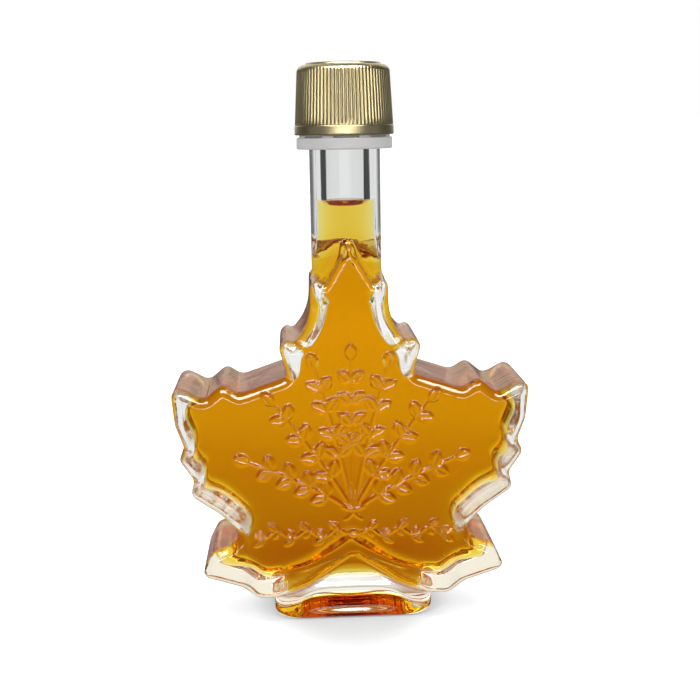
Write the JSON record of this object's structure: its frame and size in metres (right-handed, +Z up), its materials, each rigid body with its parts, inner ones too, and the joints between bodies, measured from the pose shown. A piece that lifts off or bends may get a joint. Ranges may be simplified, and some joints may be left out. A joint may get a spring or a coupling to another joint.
{
  "type": "leaf-shaped glass bottle",
  "caption": "Clear glass bottle shaped like a broad lobed leaf, filled with amber syrup to the middle of its neck, closed by a ribbed screw cap over a tamper ring.",
  "frame": {"origin": "middle of the foot's flat underside", "axes": "+Z up through the neck, +X across the leaf's width, -Y out of the broad front face"},
  "size_m": [0.0926, 0.031, 0.1477],
  "materials": {
    "clear_glass": "gloss",
    "syrup": "gloss",
    "cap_gold": "satin metallic lacquer",
    "ring_white": "satin"
  },
  "bodies": {
    "root": {"bottle": "clear_glass", "syrup": "syrup", "cap": "cap_gold", "tamper_ring": "ring_white"}
  },
  "joints": []
}
